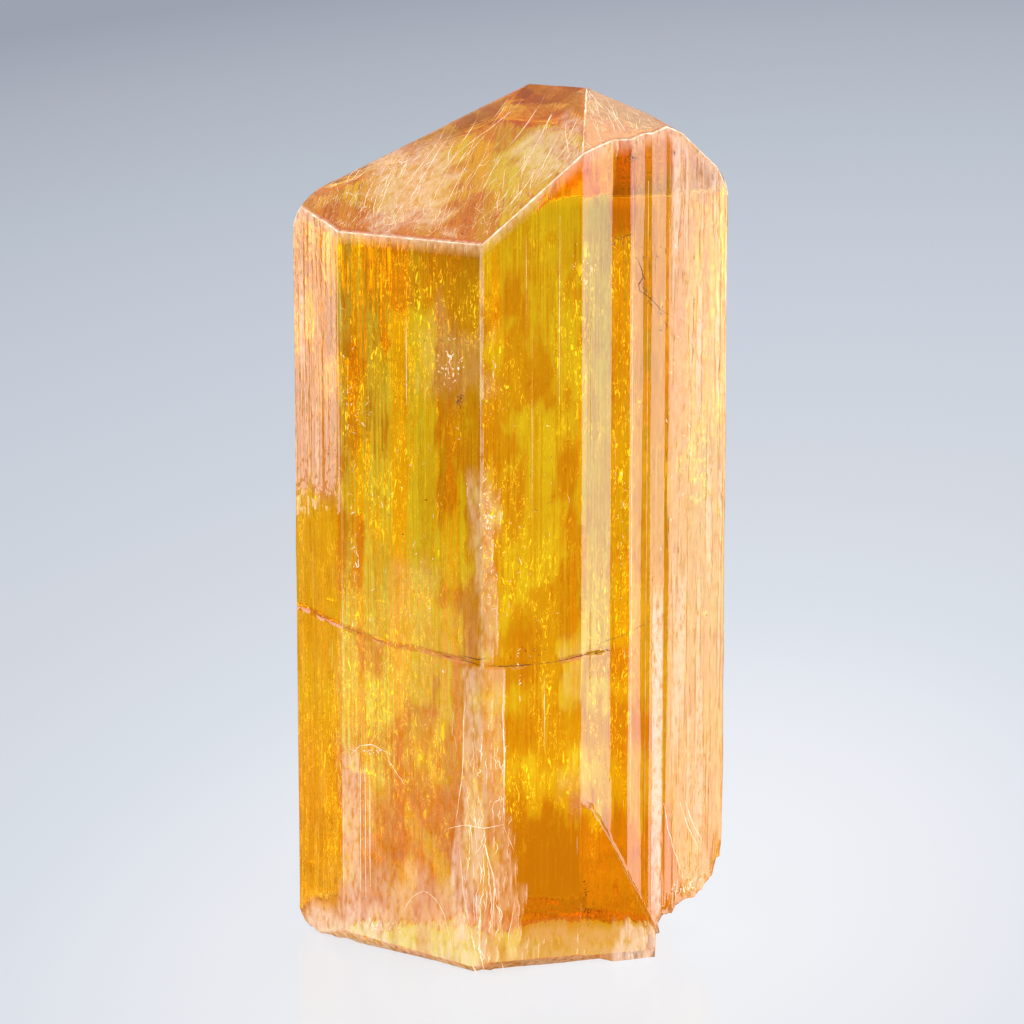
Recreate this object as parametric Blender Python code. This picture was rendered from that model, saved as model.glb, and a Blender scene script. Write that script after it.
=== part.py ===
"""A single crystal of golden orange topaz, standing on its broken base.

The crystal is one piece: a striated four-sided prism, a roof of four slanting faces with two worn
shoulders, a healed crack around its lower third, and chips and a broken corner at its foot.
Lengths are in millimetres. X runs to the right, Y to the back and Z up the length of the prism.
"""

import math

import bmesh
import bpy
from mathutils import Matrix, Vector

MM = 0.001

# The prism: two forms of long face, steep and blunt, which take turns and make the striations.
# An angle is between a face's normal and the short axis, which is itself turned a little.
PRISM_TURN = -8.0
BLUNT_FACE = 27.9
STEEP_FACE = 46.6
FRONT_EDGE = (-1.37, -7.67)
STOCK_HEIGHT = 47.0

# Widths of the faces, walked away from the front edge, or away from the right and left edges.
FRONT_RIGHT = [("blunt", 5.31), ("steep", 1.92), ("blunt", 1.00), ("steep", 0.83),
               ("blunt", 0.46), ("steep", 0.91), ("blunt", 0.18), ("steep", 3.86)]
FRONT_LEFT = [("blunt", 8.98), ("steep", 1.35), ("blunt", 0.16), ("steep", 1.10),
              ("blunt", 0.12), ("steep", 1.30)]
BACK_RIGHT = [("steep", 1.70), ("blunt", 0.20), ("steep", 1.15), ("blunt", 1.60),
              ("steep", 0.75), ("blunt", 2.60), ("steep", 0.30)]
BACK_LEFT = [("steep", 2.30), ("blunt", 0.55), ("steep", 1.45), ("blunt", 1.30),
             ("steep", 1.20), ("blunt", 1.90), ("steep", 1.60)]

# The roof: one point, slope from level, and compass angle of each face's outward normal.
APEX = (3.86, -2.36, 45.0)
CREST = (-0.49, -0.13, 44.1)
ROOF = {
    "left front": (APEX, 43.1, -128.3),
    "right front": (APEX, 40.3, -68.4),
    "left back": (CREST, 43.0, 118.6),
    "right back": (APEX, 42.0, 56.5),
}

# The worn shoulders at both ends of the long axis: each is a quarter of an ellipse from the side.
# Centre along the long axis, centre height, half width, half height, and the angles cut flat.
RIGHT_SHOULDER = (6.0, 38.0, 5.12, 5.755, (63.0, 50.0, 38.0, 26.0, 14.0))
LEFT_SHOULDER = (8.0, 36.55, 3.12, 3.30, (61.0, 47.0, 32.0, 16.0))

# The healed crack: a shallow groove round the prism, nearly level.
CRACK_POINT = (*FRONT_EDGE, 16.4)
CRACK_SLOPE = (-0.030, 0.075)
CRACK_HALF_HEIGHT = 0.16
CRACK_DEPTH = 0.14

# The corner broken off at the right of the foot: its steps seen from the front, x and z.
BREAK_STEPS = [(7.52, -1.0), (7.50, 1.22), (7.95, 1.36), (8.10, 1.90), (8.62, 1.72), (8.86, 2.22),
               (9.75, 2.34), (10.20, 2.85), (10.55, 3.30), (10.75, 4.10), (12.60, 4.80),
               (12.60, -1.0)]
BREAK_TURN = -6.0
BREAK_HALF_DEPTH = 14.0

# The front edge is worn to a narrow flat that widens down to the foot.
WORN_EDGE_TOP = 15.0
WORN_EDGE_DEPTH = 0.35

# Chips broken from the rim of the foot: a point on the chip, slope from level, compass angle.
CHIPS = [
    ((-10.75, 0.10, 0.55), 126.0, -152.0),
    ((-8.20, -2.30, 0.35), 130.0, -128.0),
    ((-1.20, -7.25, 0.30), 138.0, -96.0),
    ((4.40, -5.20, 0.25), 140.0, -72.0),
    ((-6.30, 3.30, 0.90), 132.0, 118.0),
    ((1.20, 7.00, 0.60), 130.0, 88.0),
    ((5.40, 4.70, 0.45), 135.0, 52.0),
]

# A shallow shelf on the left front face: from its front edge, left to right, and bottom to top.
SHELF_ALONG = (6.85, 8.70)
SHELF_HEIGHTS = (1.9, 9.6)
SHELF_DEPTH = 0.16

# The front lip: low down, the broad right face carries on over the narrow faces beside it, under a
# slanting ledge. Its outline on the broad face, from the front edge, and how far it stands proud.
LIP_OUTLINE = [(5.05, 0.12), (9.30, 0.12), (9.17, 1.60), (7.20, 5.78), (5.82, 8.44), (5.05, 9.10)]
LIP_PROUD = 0.04
SLAB_HALF_DEPTH = 1.0

COLOUR = (0.86, 0.38, 0.07, 1.0)
ROUGHNESS = 0.06
REFRACTIVE_INDEX = 1.62


def turned(degrees):
    """The level unit vector at this compass angle, counted from +X towards +Y."""
    angle = math.radians(degrees)
    return Vector((math.cos(angle), math.sin(angle), 0.0))


def normal_of(slope, compass):
    """The outward normal of a face that leans this far from level towards this compass angle."""
    angle = math.radians(slope)
    return math.sin(angle) * turned(compass) + Vector((0.0, 0.0, math.cos(angle)))


def face_run(form, side):
    """The level direction along a prism face, away from the front edge, side +1 right, -1 left."""
    lean = side * (BLUNT_FACE if form == "blunt" else STEEP_FACE)
    return side * turned(PRISM_TURN + lean)


def walked(start, steps, direction):
    """The corners met when the steps are walked one after another from start."""
    corners = []
    here = Vector(start)
    for form, width in steps:
        here = here + width * direction(form)
        corners.append(here.copy())
    return corners


def meeting(a, along_a, b, along_b):
    """Where the level line through a crosses the level line through b."""
    across = along_a.x * along_b.y - along_a.y * along_b.x
    gap = b - a
    return a + along_a * ((gap.x * along_b.y - gap.y * along_b.x) / across)


def prism_outline():
    """The corners of the prism's cross-section, anticlockwise from the front edge."""
    front = Vector((*FRONT_EDGE, 0.0))
    right = walked(front, FRONT_RIGHT, lambda form: face_run(form, 1))
    left = walked(front, FRONT_LEFT, lambda form: face_run(form, -1))
    behind_right = walked(right[-1], BACK_RIGHT, lambda form: face_run(form, -1))
    behind_left = walked(left[-1], BACK_LEFT, lambda form: face_run(form, 1))
    back = meeting(behind_right[-1], face_run("blunt", -1), behind_left[-1], face_run("blunt", 1))
    return [front, *right, *behind_right, back, *behind_left[::-1], *left[::-1]]


def crack_height(corner):
    """How high the healed crack lies at this corner of the prism."""
    x, y, z = CRACK_POINT
    return z + CRACK_SLOPE[0] * (corner.x - x) + CRACK_SLOPE[1] * (corner.y - y)


def prism_with_crack():
    """The prism as rings of corners up its length, drawn in a little along the crack."""
    outline = prism_outline()
    centre = sum(outline, Vector()) / len(outline)
    drawn_in = [p + (centre - p).normalized() * CRACK_DEPTH for p in outline]
    rings = [[p.copy() for p in outline]]
    lips = ((outline, -CRACK_HALF_HEIGHT), (drawn_in, 0.0), (outline, CRACK_HALF_HEIGHT))
    for corners, offset in lips:
        rings.append([Vector((q.x, q.y, crack_height(p) + offset))
                      for p, q in zip(outline, corners)])
    rings.append([Vector((p.x, p.y, STOCK_HEIGHT)) for p in outline])

    mesh = bmesh.new()
    loops = [[mesh.verts.new(p) for p in ring] for ring in rings]
    count = len(outline)
    for low, high in zip(loops, loops[1:]):
        for i in range(count):
            j = (i + 1) % count
            mesh.faces.new((low[i], low[j], high[j], high[i]))
    mesh.faces.new(loops[0][::-1])
    mesh.faces.new(loops[-1])
    return mesh


def cut_flat(mesh, point, normal):
    """Cuts away what lies outside the plane and closes the cut with one flat face."""
    whole = mesh.verts[:] + mesh.edges[:] + mesh.faces[:]
    cut = bmesh.ops.bisect_plane(mesh, geom=whole, plane_co=point, plane_no=normal,
                                 dist=1e-5, clear_outer=True)
    rim = [edge for edge in cut["geom_cut"] if isinstance(edge, bmesh.types.BMEdge)]
    bmesh.ops.edgenet_fill(mesh, edges=[edge for edge in rim if edge.is_boundary])


def cut_shoulder(mesh, shoulder, compass):
    """Cuts one worn shoulder as flats that touch its ellipse."""
    along, height, half_width, half_height, angles = shoulder
    outward = turned(compass)
    for angle in map(math.radians, angles):
        on_ellipse = (along + half_width * math.cos(angle)) * outward
        on_ellipse.z = height + half_height * math.sin(angle)
        normal = outward * (math.cos(angle) / half_width)
        normal.z = math.sin(angle) / half_height
        cut_flat(mesh, on_ellipse, normal.normalized())


def cut_worn_edge(mesh):
    """Cuts the front edge back to a flat that starts at its top and is deepest at the foot."""
    outward = turned(PRISM_TURN - 90.0)
    foot = Vector((*FRONT_EDGE, 0.0)) - outward * WORN_EDGE_DEPTH
    slope = 90.0 + math.degrees(math.atan(WORN_EDGE_DEPTH / WORN_EDGE_TOP))
    cut_flat(mesh, foot, normal_of(slope, PRISM_TURN - 90.0))


def prism_mesh():
    """The prism with its roof, its shoulders, its worn edge and the chips round its foot."""
    mesh = prism_with_crack()
    cut_worn_edge(mesh)
    for point, slope, compass in ROOF.values():
        cut_flat(mesh, Vector(point), normal_of(slope, compass))
    cut_shoulder(mesh, RIGHT_SHOULDER, PRISM_TURN)
    cut_shoulder(mesh, LEFT_SHOULDER, PRISM_TURN + 180.0)
    for point, slope, compass in CHIPS:
        cut_flat(mesh, Vector(point), normal_of(slope, compass))
    return mesh


def extruded(corners, depth):
    """A closed block: an outline in x and z, carried along y by depth both ways."""
    mesh = bmesh.new()
    near = [mesh.verts.new((x, -depth, z)) for x, z in corners]
    far = [mesh.verts.new((x, depth, z)) for x, z in corners]
    count = len(corners)
    for i in range(count):
        j = (i + 1) % count
        mesh.faces.new((near[i], near[j], far[j], far[i]))
    mesh.faces.new(near[::-1])
    mesh.faces.new(far)
    bmesh.ops.recalc_face_normals(mesh, faces=mesh.faces[:])
    return mesh


def set_on_face(slab, form, side, depth):
    """Stands a slab on the prism face beside the front edge, sunk into it by depth."""
    run = face_run(form, side)
    outward = Vector((run.y, -run.x, 0.0)) * side
    place = Matrix((run, -outward, Vector((0.0, 0.0, 1.0)))).transposed().to_4x4()
    place.translation = Vector((*FRONT_EDGE, 0.0)) + outward * (SLAB_HALF_DEPTH - depth)
    slab.transform(place)
    if side < 0:
        bmesh.ops.reverse_faces(slab, faces=slab.faces[:])
    return slab


def shelf_cutter():
    """A thin slab that takes the shallow shelf out of the left front face."""
    near, far = SHELF_ALONG
    low, high = SHELF_HEIGHTS
    slab = extruded([(near, low), (far, low + 0.2), (far, high), (near, high - 0.25)],
                    SLAB_HALF_DEPTH)
    return set_on_face(slab, "blunt", -1, SHELF_DEPTH)


def front_lip():
    """The wedge of crystal under the slanting ledge, sunk well into the narrow faces behind it."""
    wedge = extruded(LIP_OUTLINE, SLAB_HALF_DEPTH)
    return set_on_face(wedge, "blunt", 1, 2.0 * SLAB_HALF_DEPTH - LIP_PROUD)


def break_cutter():
    """The stepped block of the corner that is broken off."""
    block = extruded(BREAK_STEPS, BREAK_HALF_DEPTH)
    block.transform(Matrix.Rotation(math.radians(BREAK_TURN), 4, "Z"))
    return block


def new_object(name, mesh):
    """Puts a mesh in millimetres into the scene, in metres."""
    mesh.transform(Matrix.Scale(MM, 4))
    data = bpy.data.meshes.new(name)
    mesh.to_mesh(data)
    mesh.free()
    item = bpy.data.objects.new(name, data)
    bpy.context.scene.collection.objects.link(item)
    return item


def add_boolean(item, name, mesh, operation):
    """Joins a hidden block to the object, or cuts it out, with a Boolean modifier."""
    block = new_object(name, mesh)
    block.hide_render = True
    block.display_type = "WIRE"
    step = item.modifiers.new(name, "BOOLEAN")
    step.operation = operation
    step.solver = "EXACT"
    step.object = block


def topaz_material():
    """Clear golden orange crystal."""
    material = bpy.data.materials.new("topaz")
    material.use_nodes = True
    shader = material.node_tree.nodes["Principled BSDF"]
    shader.inputs["Base Color"].default_value = COLOUR
    shader.inputs["Roughness"].default_value = ROUGHNESS
    shader.inputs["Metallic"].default_value = 0.0
    shader.inputs["IOR"].default_value = REFRACTIVE_INDEX
    shader.inputs["Transmission Weight"].default_value = 1.0
    return material


def clear_scene():
    for item in list(bpy.data.objects):
        bpy.data.objects.remove(item, do_unlink=True)


clear_scene()
crystal = new_object("topaz_crystal", prism_mesh())
crystal.data.materials.append(topaz_material())
add_boolean(crystal, "front_lip", front_lip(), "UNION")
add_boolean(crystal, "corner_break", break_cutter(), "DIFFERENCE")
add_boolean(crystal, "shelf", shelf_cutter(), "DIFFERENCE")
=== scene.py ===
"""The looks of a golden orange topaz crystal that stands on its broken base, in metres."""

import math

import bpy
import numpy as np
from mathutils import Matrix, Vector


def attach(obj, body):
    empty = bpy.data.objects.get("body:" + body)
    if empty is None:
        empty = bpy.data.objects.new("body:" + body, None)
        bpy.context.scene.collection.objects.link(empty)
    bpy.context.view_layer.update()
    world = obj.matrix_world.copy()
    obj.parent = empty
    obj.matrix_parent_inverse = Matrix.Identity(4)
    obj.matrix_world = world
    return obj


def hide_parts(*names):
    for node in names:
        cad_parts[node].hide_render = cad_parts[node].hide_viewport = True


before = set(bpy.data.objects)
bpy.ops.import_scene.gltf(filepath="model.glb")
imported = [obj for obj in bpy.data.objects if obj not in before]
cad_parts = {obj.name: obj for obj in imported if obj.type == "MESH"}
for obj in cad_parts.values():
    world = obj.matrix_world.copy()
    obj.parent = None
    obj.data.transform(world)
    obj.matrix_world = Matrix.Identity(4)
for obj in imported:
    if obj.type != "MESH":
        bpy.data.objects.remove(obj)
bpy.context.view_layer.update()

# The camera: a long lens a little above the crystal, square to the front edge, far enough away
# that the crystal fills the height of the picture.
MM = 0.001
CAMERA_HEIGHT_ANGLE = math.radians(14.0)
CAMERA_DISTANCE = 282.9 * MM
CAMERA_AIM = Vector((0.12, 0.0, 22.55)) * MM
CAMERA_LENS = 193.4
SENSOR_WIDTH = 36.0

towards_camera = Vector((0.0, -math.cos(CAMERA_HEIGHT_ANGLE), math.sin(CAMERA_HEIGHT_ANGLE)))
camera_data = bpy.data.cameras.new("camera")
camera_data.lens = CAMERA_LENS
camera_data.sensor_width = SENSOR_WIDTH
camera_data.clip_start = 0.01
camera = bpy.data.objects.new("camera", camera_data)
camera.location = CAMERA_AIM + towards_camera * CAMERA_DISTANCE
camera.rotation_euler = towards_camera.to_track_quat("Z", "Y").to_euler()
bpy.context.scene.collection.objects.link(camera)
bpy.context.scene.camera = camera

# The crystal: one clear piece of topaz, grown as a striated prism under a roof of four faces. Its
# base is the flat cleavage it broke along. Sizes are in millimetres until the mesh is made.
PRISM_TURN = -8.0
FACE_LEAN = {"blunt": 27.9, "steep": 46.6}
FRONT_EDGE = np.array((-1.37, -7.67))
FRONT_RIGHT = [("blunt", 5.31), ("steep", 1.92), ("blunt", 1.00), ("steep", 0.83),
               ("blunt", 0.46), ("steep", 0.91), ("blunt", 0.18), ("steep", 3.86)]
FRONT_LEFT = [("blunt", 8.98), ("steep", 1.35), ("blunt", 0.16), ("steep", 1.10),
              ("blunt", 0.12), ("steep", 1.30)]
BACK_RIGHT = [("steep", 1.70), ("blunt", 0.20), ("steep", 1.15), ("blunt", 1.60),
              ("steep", 0.75), ("blunt", 2.60), ("steep", 0.30)]
BACK_LEFT = [("steep", 2.30), ("blunt", 0.55), ("steep", 1.45), ("blunt", 1.30),
             ("steep", 1.20), ("blunt", 1.90), ("steep", 1.60)]
APEX = np.array((3.86, -2.36, 45.0))
CREST = np.array((-0.49, -0.13, 44.1))
ROOF = [(APEX, 43.1, -128.3), (APEX, 40.3, -68.4), (CREST, 43.0, 118.6), (APEX, 42.0, 56.5)]
SHOULDERS = [(PRISM_TURN, 6.0, 38.0, 5.12, 5.755, 8.3),
             (PRISM_TURN + 180.0, 8.0, 36.55, 3.12, 3.30, 9.45)]
CRACK_HEIGHT = 16.4
CRACK_SLOPE = np.array((-0.030, 0.075))
CRACK_HALF_HEIGHT = 0.09
CRACK_DEPTH = 0.10
CRACK_END = 5.0
WORN_EDGE_TOP = 15.0
WORN_EDGE_DEPTH = 0.35
CHIPS = [((-10.75, 0.10, 0.55), 126.0, -152.0), ((-8.20, -2.30, 0.35), 130.0, -128.0),
         ((-1.20, -7.25, 0.30), 138.0, -96.0), ((4.40, -5.20, 0.25), 140.0, -72.0),
         ((-6.30, 3.30, 0.90), 132.0, 118.0), ((1.20, 7.00, 0.60), 130.0, 88.0),
         ((5.40, 4.70, 0.45), 135.0, 52.0)]
BREAK_STEPS = np.array([(-20.0, 0.0), (7.52, 0.0), (7.53, 1.22), (7.95, 1.36), (8.10, 1.90),
                        (8.62, 1.74), (8.86, 2.22), (9.75, 2.34), (10.20, 2.85), (10.55, 3.30),
                        (10.75, 4.10), (12.60, 4.80)])
BREAK_TURN = -6.0
COLUMN_SPACING = (0.052, 0.066)
EDGE_BEVEL = 0.04

# Layers of unevenness, each with its height, its size and the seed of its noise.
RIM_NOISE = [(0.30, 0.9, 7), (0.16, 0.3, 8)]
BREAK_NOISE = [(0.16, 0.42, 5), (0.13, 0.17, 6)]
RIM_STRETCH = (0.8, 1.15)
RIM_RADIUS = 8.8


def compass(degrees):
    """The level unit vector at this compass angle, counted from +X towards +Y."""
    return np.array((math.cos(math.radians(degrees)), math.sin(math.radians(degrees))))


def face_run(form, side):
    """The level direction along a prism face, away from the front edge, side +1 right, -1 left."""
    return side * compass(PRISM_TURN + side * FACE_LEAN[form])


def walked(start, steps, side):
    """The corners met when the steps are walked one after another from start."""
    runs = np.array([width * face_run(form, side) for form, width in steps])
    return start + np.cumsum(runs, axis=0)


def prism_outline():
    """The corners of the cross-section, anticlockwise from the front edge. The two back chains meet
    where their last faces cross."""
    right = walked(FRONT_EDGE, FRONT_RIGHT, 1)
    left = walked(FRONT_EDGE, FRONT_LEFT, -1)
    behind_right = walked(right[-1], BACK_RIGHT, -1)
    behind_left = walked(left[-1], BACK_LEFT, 1)
    runs = np.array((face_run("blunt", -1), -face_run("blunt", 1))).T
    reach = np.linalg.solve(runs, behind_left[-1] - behind_right[-1])
    back = behind_right[-1] + reach[0] * runs[:, 0]
    return np.vstack((FRONT_EDGE, right, behind_right, back, behind_left[::-1], left[::-1]))


def perimeter_columns(corners):
    """Points along the outline, each with its face's outward normal. A face's points run from one
    bevel width after its first corner to one before its last, so every corner is a narrow bevel."""
    places, normals = [], []
    for start, end in zip(corners, np.roll(corners, -1, axis=0)):
        length = np.linalg.norm(end - start)
        run = (end - start) / length
        spacing = COLUMN_SPACING[0] if start[1] + end[1] < 2.0 else COLUMN_SPACING[1]
        bevel = min(EDGE_BEVEL, 0.25 * length)
        count = max(2, int(round((length - 2 * bevel) / spacing)) + 1)
        steps = np.linspace(bevel, length - bevel, count)
        places.append(start + steps[:, None] * run)
        normals.append(np.tile((run[1], -run[0]), (count, 1)))
    return np.vstack(places), np.vstack(normals)


def lattice_noise(x, y, seed):
    """Smooth random heights from -1 to 1: one at each whole-number point, blended by a cubic."""
    x, y = np.broadcast_arrays(x, y)
    x0, y0 = np.floor(x), np.floor(y)

    def corner(right, up):
        wave = np.sin((x0 + right) * 127.1 + (y0 + up) * 311.7 + seed * 74.7) * 43758.5453
        return 2.0 * (wave - np.floor(wave)) - 1.0

    u, v = x - x0, y - y0
    u, v = u * u * (3 - 2 * u), v * v * (3 - 2 * v)
    low = corner(0, 0) * (1 - u) + corner(1, 0) * u
    high = corner(0, 1) * (1 - u) + corner(1, 1) * u
    return low * (1 - v) + high * v


def summed_noise(x, y, layers):
    """The sum of noise layers, each its height times the noise at its size and seed."""
    return sum(height * lattice_noise(x / size, y / size, seed) for height, size, seed in layers)


def roof_surfaces(x, y):
    """The heights of all six roof surfaces: a plane falls away from its point at its slope, and a
    shoulder is an ellipse over the long axis, drawn on inwards along its tangent."""
    heights = []
    for point, slope, angle in ROOF:
        fall = compass(angle) * math.tan(math.radians(slope))
        heights.append(point[2] - fall[0] * (x - point[0]) - fall[1] * (y - point[1]))
    for angle, centre, middle, half_width, half_height, start in SHOULDERS:
        along = compass(angle)[0] * x + compass(angle)[1] * y
        share = (start - centre) / half_width
        rise = math.sqrt(1 - share ** 2)
        slope = half_height / half_width * share / rise
        curve = np.sqrt(np.clip(1 - ((along - centre) / half_width) ** 2, 0.0004, 1))
        tangent = middle + half_height * rise + slope * (start - along)
        heights.append(np.where(along > start, middle + half_height * curve, tangent))
    return np.array(heights)


def roof_height(x, y):
    """The roof is the lowest of its six surfaces."""
    return roof_surfaces(x, y).min(axis=0)


def foot_height(x, y):
    """The underside: the highest of the level break, the planes of the sloping chips, the unevenness
    near the rim, and the steps of the broken corner, which climb along the break's direction."""
    height = np.zeros(np.shape(x))
    for (px, py, pz), slope, angle in CHIPS:
        rise = compass(angle) * math.tan(math.radians(180.0 - slope))
        height = np.maximum(height, pz + rise[0] * (x - px) + rise[1] * (y - py))
    reach = np.hypot(x * RIM_STRETCH[0], y * RIM_STRETCH[1]) / RIM_RADIUS
    near_rim = np.clip((reach - 0.80) * 5, 0, 1)
    height = np.maximum(height, summed_noise(x, y, RIM_NOISE) * near_rim)
    along = compass(BREAK_TURN)[0] * x + compass(BREAK_TURN)[1] * y
    along = along + summed_noise(x, y, BREAK_NOISE)
    steps = np.interp(along, BREAK_STEPS[:, 0], BREAK_STEPS[:, 1])
    return np.maximum(height, steps)


def crack_height(x, y):
    """The healed crack's height: a plane through the front edge, with a gentle waviness."""
    dip = CRACK_SLOPE[0] * (x - FRONT_EDGE[0]) + CRACK_SLOPE[1] * (y - FRONT_EDGE[1])
    return CRACK_HEIGHT + dip + summed_noise(x, y, [(0.18, 2.1, 11)])


def wall_relief(along, z, lumpy):
    """How far the wall stands out: terraces of fine upright growth steps, and long swells that are
    as high as lumpy says, with smaller lumps on top of them."""
    fine = lattice_noise(along / 0.16, z / 9.0, 21)
    broad = lattice_noise(along / 0.55, z / 16.0, 22)
    swell = lattice_noise(along / 1.3, z / 3.4, 23) + 0.45 * lattice_noise(along / 0.5, z / 1.9, 24)
    terraces = 0.006 * np.round(2.0 * fine) + 0.010 * np.round(1.6 * broad)
    return terraces + lumpy * swell


corners = prism_outline()
plan, outward = perimeter_columns(corners)
columns = len(plan)
along = np.concatenate(([0.0], np.cumsum(np.linalg.norm(np.diff(plan, axis=0), axis=1))))
foot = foot_height(plan[:, 0], plan[:, 1])
crack = crack_height(plan[:, 0], plan[:, 1])
top = roof_height(plan[:, 0], plan[:, 1])

# The front lip: low down, the broad right front face carries on over the narrow faces beside it, up
# to a slanting ledge whose height falls to the right.
LIP_X = (3.2, 4.1, 5.4, 7.25, 9.0)
LIP_TOP = (8.9, 8.44, 5.78, 1.6, -2.0)
LIP_ALONG = (5.25, 13.0)
LIP_END = 8.4
LIP_REACH = 1.2
ROWS_WITHOUT_LIP = 7.0
lip_out = np.array((face_run("blunt", 1)[1], -face_run("blunt", 1)[0]))
lip_gap = np.clip((corners[1] - plan) @ lip_out, 0.0, LIP_REACH)
beside = (along > LIP_ALONG[0]) & (along < LIP_ALONG[1]) & (plan[:, 0] < LIP_END)
lip_gap = np.where(beside, lip_gap, 0.0)
lip_top = np.where(beside, np.interp(plan[:, 0], LIP_X, LIP_TOP), ROWS_WITHOUT_LIP)

# The shelf: a shallow upright panel let into the left front face, from a small ledge down.
SHELF_ALONG = (6.85, 8.70)
SHELF_HEIGHTS = (1.95, 9.5)
SHELF_DEPTH = 0.16
ROWS_TO_LEDGE = (2.5, 12.0)
around = along[-1] + np.linalg.norm(plan[-1] - plan[0])
leftward = around - along
near_shelf = (leftward > ROWS_TO_LEDGE[0]) & (leftward < ROWS_TO_LEDGE[1])
lip_top = np.where(near_shelf, SHELF_HEIGHTS[1], lip_top)

# Wall rows, from the foot up: shares of the lip's height, two rows over its ledge, shares of the
# way to the crack, close rows across the crack, and even shares of the rest.
LEAST_STEP = 0.03
LEDGE_SLOPE = 0.12
LIP_SHARES = (0.06, 0.13, 0.21, 0.30, 0.40, 0.50, 0.60, 0.70, 0.80, 0.90, 0.97, 1.0)
ABOVE_LIP = (LEDGE_SLOPE, 0.55)
MIDDLE_SHARES = (0.14, 0.28, 0.42, 0.56, 0.70, 0.85)
CRACK_ROWS = (-0.5, -0.25, -0.09, -0.04, 0.0, 0.04, 0.09, 0.25, 0.5)
UPPER_SHARES = np.linspace(0.04, 1.0, 30)
levels = [foot + LEAST_STEP * k for k in range(4)]
for share in LIP_SHARES:
    levels.append(np.maximum(share * lip_top, levels[-1] + LEAST_STEP))
for level in ABOVE_LIP:
    levels.append(np.maximum(lip_top + level, levels[-1] + LEAST_STEP))
over_lip = levels[-1]
for share in MIDDLE_SHARES:
    levels.append(over_lip + (crack + CRACK_ROWS[0] - over_lip) * share)
for level in CRACK_ROWS:
    levels.append(crack + level)
over_crack = crack + CRACK_ROWS[-1]
for share in UPPER_SHARES:
    levels.append(over_crack + (top - EDGE_BEVEL - over_crack) * share)
wall_z = np.array(levels)

# The groove of the crack is deep and broken on the front and a hair line at the back, and it fades
# out on the right front face.
BACK_GROOVE = 0.12
CRACK_FADE = 0.5
groove = CRACK_DEPTH * np.clip(1 - np.abs(wall_z - crack) / CRACK_HALF_HEIGHT, 0, 1)
faces_front = np.clip(-8.0 * outward[:, 1], 0.0, 1.0)
groove = groove * (BACK_GROOVE + (1 - BACK_GROOVE) * faces_front)
groove = groove * np.clip(0.4 + lattice_noise(along / 0.6, 0.0, 31), 0.05, 1)
fading = np.clip((CRACK_END - plan[:, 0]) / CRACK_FADE, 0.0, 1.0)
groove = groove * np.where(faces_front > 0, fading, 1.0)
on_shelf = (leftward > SHELF_ALONG[0]) & (leftward < SHELF_ALONG[1])
shelf = np.clip((SHELF_HEIGHTS[1] + LEDGE_SLOPE - wall_z) / LEDGE_SLOPE, 0, 1)
shelf = SHELF_DEPTH * shelf * (wall_z > SHELF_HEIGHTS[0]) * on_shelf

# Small lumps are bitten out of the wall over the broken corner.
BITE_HEIGHT = 1.3
BITE_START = 7.6
BITE_DEPTH = (0.05, 0.14)
at_break = np.clip(BITE_HEIGHT - (wall_z - foot), 0, 1) * np.clip((plan[:, 0] - BITE_START) * 3, 0, 1)
bites = BITE_DEPTH[0] + BITE_DEPTH[1] * np.abs(lattice_noise(along / 0.42, wall_z / 0.5, 25))
relief = wall_relief(along, wall_z, 0.055 - 0.050 * faces_front) - groove - shelf - at_break * bites
wall = np.empty(wall_z.shape + (3,))
lip = lip_gap * np.clip((lip_top + LEDGE_SLOPE - wall_z) / LEDGE_SLOPE, 0, 1)
wall[..., :2] = plan + relief[..., None] * outward + lip[..., None] * lip_out
wall[..., 2] = wall_z

# The worn front edge: whatever stands out past a flat that is deepest at the foot is cut back.
WEAR_NOISE = 0.03
edge_out = compass(PRISM_TURN - 90.0)
reach = (wall[..., :2] - FRONT_EDGE) @ edge_out
limit = -WORN_EDGE_DEPTH * (1 - wall_z / WORN_EDGE_TOP)
limit = limit + WEAR_NOISE * lattice_noise(along / 0.3, wall_z / 0.9, 41)
excess = np.where(wall_z < WORN_EDGE_TOP, np.clip(reach - limit, 0, None), 0)
wall[..., :2] -= excess[..., None] * edge_out


def roof_rings(plan, count):
    """Shares of the way from the rim to the apex for each ring and column, so that rings run along
    the crests: the crossing of two roof faces on a column's line is found, and the rings are spread
    evenly before and after it."""
    shares = np.linspace(0.0, 1.0, 601)
    x = plan[:, 0] + shares[:, None] * (APEX[0] - plan[:, 0])
    y = plan[:, 1] + shares[:, None] * (APEX[1] - plan[:, 1])
    owner = roof_surfaces(x, y).argmin(axis=0)
    change = (owner[1:-1] != owner[:-2]) & (shares[1:-1, None] > 0.03) & (shares[1:-1, None] < 0.97)
    number = np.arange(plan.shape[0])
    found = change.any(axis=0)
    first = np.where(found, shares[1 + change.argmax(axis=0)], np.nan)
    first = np.interp(number, number[found], first[found], period=len(number))
    before = int(count * 0.45)
    lead = np.linspace(0.0, 1.0, before + 1)[:-1, None] * first
    rest = first + np.linspace(0.0, 1.0, count - before + 1)[:-1, None] * (1 - first)
    return np.vstack((lead, rest))


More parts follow.
